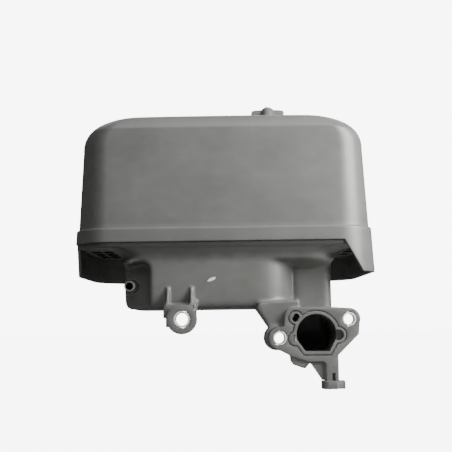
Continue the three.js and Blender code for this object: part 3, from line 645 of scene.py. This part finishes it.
# %% How soft each place is
def near_box(points, low, high, fade):
    """1 inside a box and falling to 0 over the fade distance outside it."""
    outside = np.maximum(np.maximum(low - points, points - high), 0)
    return np.clip(1 - np.linalg.norm(outside, axis=1) / fade, 0, 1)


def tight_places():
    left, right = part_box("flange_collar_left"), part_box("flange_collar_right")
    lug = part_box("bracket_collar")
    low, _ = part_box("elbow_body")
    grown = Vector((4 * MM,) * 3)
    return [
        (Vector((left[0].x, low.y, -24 * MM)), Vector((right[1].x, 12 * MM, 24 * MM))),
        (Vector((left[0].x - grown.x, 0, left[0].z - grown.z)), left[1] + grown),
        (right[0] - grown, right[1] + grown),
        (lug[0] - Vector((9 * MM, 0, 9 * MM)), lug[1] + Vector((8 * MM, 6 * MM, 10 * MM))),
        (lug[0] - Vector((9 * MM, 0, 0)), lug[1] + Vector((8 * MM, 14 * MM, 24 * MM))),
        (Vector((-8 * MM, low.y, low.z)), Vector((24 * MM, 12 * MM, -14 * MM))),
        (Vector((-152 * MM, 10 * MM, 33 * MM)), Vector((-141 * MM, 34 * MM, 46 * MM))),
    ]


FADE = 5 * MM
HELD_BACK = 0.86
TRAY_SOFT = 0.45
tray_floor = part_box("plate_gasket")[0].z - 4.6 * MM


def softness(points):
    soft = np.ones(len(points))
    for low, high in tight_places():
        near = near_box(points, np.array(low), np.array(high), FADE)
        soft = np.minimum(soft, 1 - HELD_BACK * near)
    soft[points[:, 2] > tray_floor] *= TRAY_SOFT
    return soft


print("tight places:", len(tight_places()), "tray floor at, mm:", round(tray_floor / MM, 1))

# %% [markdown]
# Each round moves every point part of the way to the middle of its neighbours. Blender has a smooth
# modifier for this, but its strength comes from painted weights. With plain arrays the strength of
# each place is a number, and a quarter of a million points still take only a few seconds.

# %% Relax the skin
RELAX_STEP = 0.6


def relax(mesh, rounds):
    points = np.zeros(len(mesh.vertices) * 3)
    mesh.vertices.foreach_get("co", points)
    points = points.reshape(-1, 3)
    pairs = np.zeros(len(mesh.edges) * 2, np.int64)
    mesh.edges.foreach_get("vertices", pairs)
    a, b = pairs.reshape(-1, 2).T
    count = len(points)
    friends = np.bincount(a, minlength=count) + np.bincount(b, minlength=count)
    pull = softness(points)[:, None]
    for _ in range(rounds):
        middle = np.empty_like(points)
        for axis in range(3):
            near = np.bincount(a, points[b, axis], count) + np.bincount(b, points[a, axis], count)
            middle[:, axis] = near / friends
        points += RELAX_STEP * pull * (middle - points)
    mesh.vertices.foreach_set("co", points.ravel())
    mesh.update()
    return count


relaxed = relax(lower_moulding.data, 20)
print("points relaxed:", relaxed)


# %% [markdown]
# Some places need crisp edges that an even skin can't hold: the flange's face with its thin seal
# groove, the foot, the breather spigot, and the bracket lug, which takes two boxes. They are cut out
# of a copy of the CAD node, get a fine bevel, and sit where the same region is taken out of the skin.

# %% Crisp places
FACE_DEEP = 2.6 * MM
LUG_SEAM = 19.5 * MM
left_collar, right_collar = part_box("flange_collar_left"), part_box("flange_collar_right")
bracket_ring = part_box("bracket_collar")
body_low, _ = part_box("elbow_body")
crisp_places = {
    "flange_face": (
        Vector((left_collar[0].x - 6 * MM, body_low.y - MM, -25 * MM)),
        Vector((right_collar[1].x + 6 * MM, FACE_DEEP, right_collar[1].z + 6 * MM)),
    ),
    "foot": (
        Vector((-3 * MM, body_low.y - MM, body_low.z - MM)),
        Vector((26 * MM, 12 * MM, -25 * MM)),
    ),
    "breather_spigot": (
        Vector((body_low.x + 38 * MM, 10 * MM, 33.6 * MM)),
        Vector((-141 * MM, 30.6 * MM, 45.2 * MM)),
    ),
    "lug_ring": (
        Vector((bracket_ring[0].x - 9 * MM, body_low.y - MM, body_low.z)),
        Vector((bracket_ring[1].x + 6 * MM, 40 * MM, LUG_SEAM)),
    ),
    "lug_brow": (
        Vector((bracket_ring[0].x - 6 * MM, body_low.y - MM, LUG_SEAM)),
        Vector((bracket_ring[1].x + 3 * MM, 3 * MM, bracket_ring[1].z + 6 * MM)),
    ),
}
print("crisp places:", len(crisp_places))


# %% Cut a crisp piece from the CAD node
def round_edges(piece, width, segments, degrees):
    """A bevel on every edge that is sharper than the angle."""
    bevel = piece.modifiers.new("edge", "BEVEL")
    bevel.width = width
    bevel.segments = segments
    bevel.limit_method = "ANGLE"
    bevel.angle_limit = math.radians(degrees)


def crisp_piece(name, low, high):
    """The part of the lower moulding's CAD node that lies inside a box, with its edges bevelled."""
    shape = bmesh.new()
    shape.from_mesh(nodes["elbow_body"].data)
    bmesh.ops.remove_doubles(shape, verts=shape.verts, dist=SAME_POINT)
    for axis in range(3):
        for corner, way in ((low, -1), (high, 1)):
            normal = Vector((0, 0, 0))
            normal[axis] = way
            every = shape.verts[:] + shape.edges[:] + shape.faces[:]
            cut = {"plane_co": corner, "plane_no": normal, "clear_outer": True}
            bmesh.ops.bisect_plane(shape, geom=every, dist=1e-7, **cut)
    mesh = bpy.data.meshes.new(name)
    shape.to_mesh(mesh)
    shape.free()
    made = placed(name, mesh)
    round_edges(made, 0.35 * MM, segments=2, degrees=40)
    settle(made)
    return made


crisp = {name: crisp_piece(name, *place) for name, place in crisp_places.items()}
print("crisp faces:", {name: len(piece.data.polygons) for name, piece in crisp.items()})


# %% Clear the same places in the skin
def clear_place(piece, low, high, keep=0.5 * MM):
    """Takes the soft skin's faces out of a box, but for a margin that stays behind the crisp piece."""
    shape = bmesh.new()
    shape.from_mesh(piece.data)
    gone = []
    for face in shape.faces:
        c = face.calc_center_median()
        if low.x < c.x < high.x and c.y < high.y - keep and low.z < c.z < high.z - keep:
            gone.append(face)
    bmesh.ops.delete(shape, geom=gone, context="FACES")
    shape.to_mesh(piece.data)
    shape.free()
    return len(gone)


for name, place in crisp_places.items():
    print(name, "skin faces out:", clear_place(lower_moulding, *place))

# %% [markdown]
# The even skin has as many faces on flat walls as on fillets. Decimating merges the flat ones and
# leaves the shape alone. When the skin has few enough faces already, it is left out.

# %% Lighten and fit out
LIGHT_FACES = 190_000


def lighten(piece, faces):
    triangles = sum(len(p.vertices) - 2 for p in piece.data.polygons)
    if triangles > faces:
        fewer = piece.modifiers.new("fewer", "DECIMATE")
        fewer.ratio = faces / triangles
        settle(piece)
    return len(piece.data.polygons)


print("lightened to faces:", lighten(lower_moulding, LIGHT_FACES))
fit_out(lower_moulding, bowl_plastic, "base", "elbow_body", degrees=60)
for piece in crisp.values():
    fit_out(piece, bowl_plastic, "base", "elbow_body", degrees=30)
print("lower moulding rides on the base")

# %% [markdown]
# The foam sleeve is a band of coarse open-cell foam pulled over the element. A plain tube would
# look turned on a lathe. Real foam bulges and its edges are nibbled, so its points are moved by slow
# waves and a fine jitter, and the cells are in the finish.

# %% Foam sleeve
foam_low, foam_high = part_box("foam_sleeve")
foam_out = (foam_high.x - foam_low.x) / 2
FOAM_THICK = 8.4 * MM


def foam_rows():
    around = np.linspace(0, 2 * np.pi, 181)[:-1]
    chance = np.random.default_rng(7)
    bore = foam_out - FOAM_THICK + 0.1 * MM
    heights = np.linspace(foam_low.z, foam_high.z, 41)
    middle = (foam_low.z + foam_high.z) / 2
    rows = []
    for z in heights:
        edge = min(z - foam_low.z, foam_high.z - z) / MM
        rounding = 1.6 * MM * math.exp(-edge / 0.9)
        wave = 0.35 * MM * np.sin(3 * around + 40 * (z - middle)) - 0.4 * MM
        jitter = chance.normal(0, 0.09 * MM, len(around))
        rows.append((foam_out + wave + jitter - rounding, z))
    for z in heights[::-2]:
        rows.append((np.full(len(around), bore), z))
    made = []
    for radius, z in rows:
        x = stud_middle.x + radius * np.cos(around)
        y = stud_middle.y + radius * np.sin(around)
        made.append(np.column_stack([x, y, np.full(len(around), z)]))
    return made


foam = skin_object("foam_wrap", foam_rows())
fit_out(foam, foam_cells, "filter_element", "foam_sleeve", degrees=60)
print("foam, mm across:", round(2 * foam_out / MM, 1), "thick", FOAM_THICK / MM)

# %% [markdown]
# The rest keeps its CAD shape. Stamped, turned and moulded edges are never knife sharp, and a small
# bevel catches the light along them. The bevel is a modifier, so the CAD mesh itself stays as it is.

# %% Small pieces
small_pieces = {
    "seat_plate": (moulded_plastic("seat_plate_plastic"), 0.4),
    "plate_gasket": (rubber, 0.2),
    "element_seal": (rubber, 0.5),
    "cover_grommet": (rubber, 0.5),
    "element_bottom_cap": (cast_cap, 0.3),
    "element_top_cap": (cast_cap, 0.3),
    "element_paper": (filter_paper, 0.2),
    "element_core": (zinc_plate, 0.2),
    "filter_stud": (stud_thread, 0.15),
}
small_pieces["cover_wing_nut"] = (cover_plastic, 0.6)
steel_words = ("collar", "screw", "washer", "nut")
zinc_names = [n for n in nodes if n not in small_pieces and any(w in n for w in steel_words)]
for name in zinc_names:
    small_pieces[name] = (zinc_plate, 0.45 if "wing" in name else 0.25)

for name, (finish, edge) in small_pieces.items():
    piece = nodes[name]
    piece.data.materials.clear()
    piece.data.materials.append(finish.material)
    weld = piece.modifiers.new("weld", "WELD")
    weld.merge_threshold = SAME_POINT
    round_edges(piece, edge * MM, 3 if "wing" in name or "collar" in name else 2, degrees=35)
    smooth(piece.data, 35)
print("small pieces finished:", len(small_pieces))

# %% [markdown]
# The stage is plain: a pale floor under the foot and a white surround. To the camera both glow in the
# same white, so no horizon line runs behind the part. To the part they are only dim, or they would
# wash out its dark plastic.

# %% Floor and surround
floor_z = frame_low.z - 1 * MM
bpy.ops.mesh.primitive_plane_add(size=8, location=(0, 0, floor_z))
floor = bpy.context.object
floor.name = "floor"
WHITE_GLOW = 8
FILL = 0.13
pale = Finish("pale_floor", (0.24, 0.24, 0.235), Roughness=0.7)
speckle = pale.noise(20 * MM, detail=4)
pale.set("Base Color", pale.between(speckle, (0.24, 0.24, 0.235, 1), (0.27, 0.27, 0.265, 1)))
camera_ray = pale.node("ShaderNodeLightPath", {}, {}, out="Is Camera Ray")
glow = pale.node("ShaderNodeEmission", {}, {"Color": (1, 1, 1, 1), "Strength": WHITE_GLOW})
lit = Value(pale, pale.surface.outputs[0])
both = pale.node("ShaderNodeMixShader", {}, {0: camera_ray * 0.94, 1: lit, 2: glow})
pale.tree.links.new(both.socket, pale.tree.nodes["Material Output"].inputs["Surface"])
floor.data.materials.append(pale.material)

world = bpy.data.worlds.new("surround")
bpy.context.scene.world = world
world.use_nodes = True
sky = world.node_tree
seen = sky.nodes["Background"]
seen.inputs["Strength"].default_value = WHITE_GLOW
felt = sky.nodes.new("ShaderNodeBackground")
felt.inputs["Strength"].default_value = FILL
ray = sky.nodes.new("ShaderNodeLightPath")
either = sky.nodes.new("ShaderNodeMixShader")
for source, target in (
    (ray.outputs["Is Camera Ray"], either.inputs[0]),
    (felt.outputs[0], either.inputs[1]),
    (seen.outputs[0], either.inputs[2]),
    (either.outputs[0], sky.nodes["World Output"].inputs["Surface"]),
):
    sky.links.new(source, target)
for background in (seen, felt):
    background.inputs["Color"].default_value = (1, 1, 1, 1)
print("floor at, mm:", round(floor_z / MM, 1))

# %% [markdown]
# Four soft boxes light the part, as in a small studio. The strongest stands close on the right and
# lights the cover's right corner. The others, from above, behind and in front, are weak and large, so
# that the shadows under the skirt stay dark and soft.


# %% Lights
def soft_light(name, place, wide, high, power):
    lamp = bpy.data.lights.new(name, "AREA")
    lamp.shape = "RECTANGLE"
    lamp.size = wide
    lamp.size_y = high
    lamp.energy = power
    made = placed(name, lamp)
    made.location = place
    made.rotation_euler = (frame_middle - Vector(place)).to_track_quat("-Z", "Y").to_euler()
    return made


frame_middle = (frame_low + frame_high) / 2
lights = [
    soft_light("right_box", (0.3, -0.16, 0.27), 0.24, 0.34, 6.5),
    soft_light("top_box", (-0.05, -0.3, 0.95), 0.5, 0.3, 3),
    soft_light("rear_box", (-0.1, 0.6, 0.9), 1.0, 0.6, 4),
    soft_light("front_box", (-0.1, -1.1, 0.7), 0.8, 0.5, 2.2),
]
print("lights:", len(lights))

# %% [markdown]
# The camera stands a little below the middle of the part, 0.7 m from the flange, and looks slightly
# up, so the skirt's dark inside and the undersides of the throat are in view.

# %% Camera
EYE = Vector((-69, -700, 9)) * MM
TILT = math.radians(6.2)
ROLL = math.radians(-0.8)
lens = bpy.data.cameras.new("camera")
lens.lens = 71.4
camera = placed("camera", lens)
turn = Matrix.Rotation(math.pi / 2 + TILT, 4, "X") @ Matrix.Rotation(ROLL, 4, "Z")
camera.matrix_world = Matrix.Translation(EYE) @ turn
bpy.context.scene.camera = camera
print("camera at, mm:", [round(v / MM) for v in EYE])
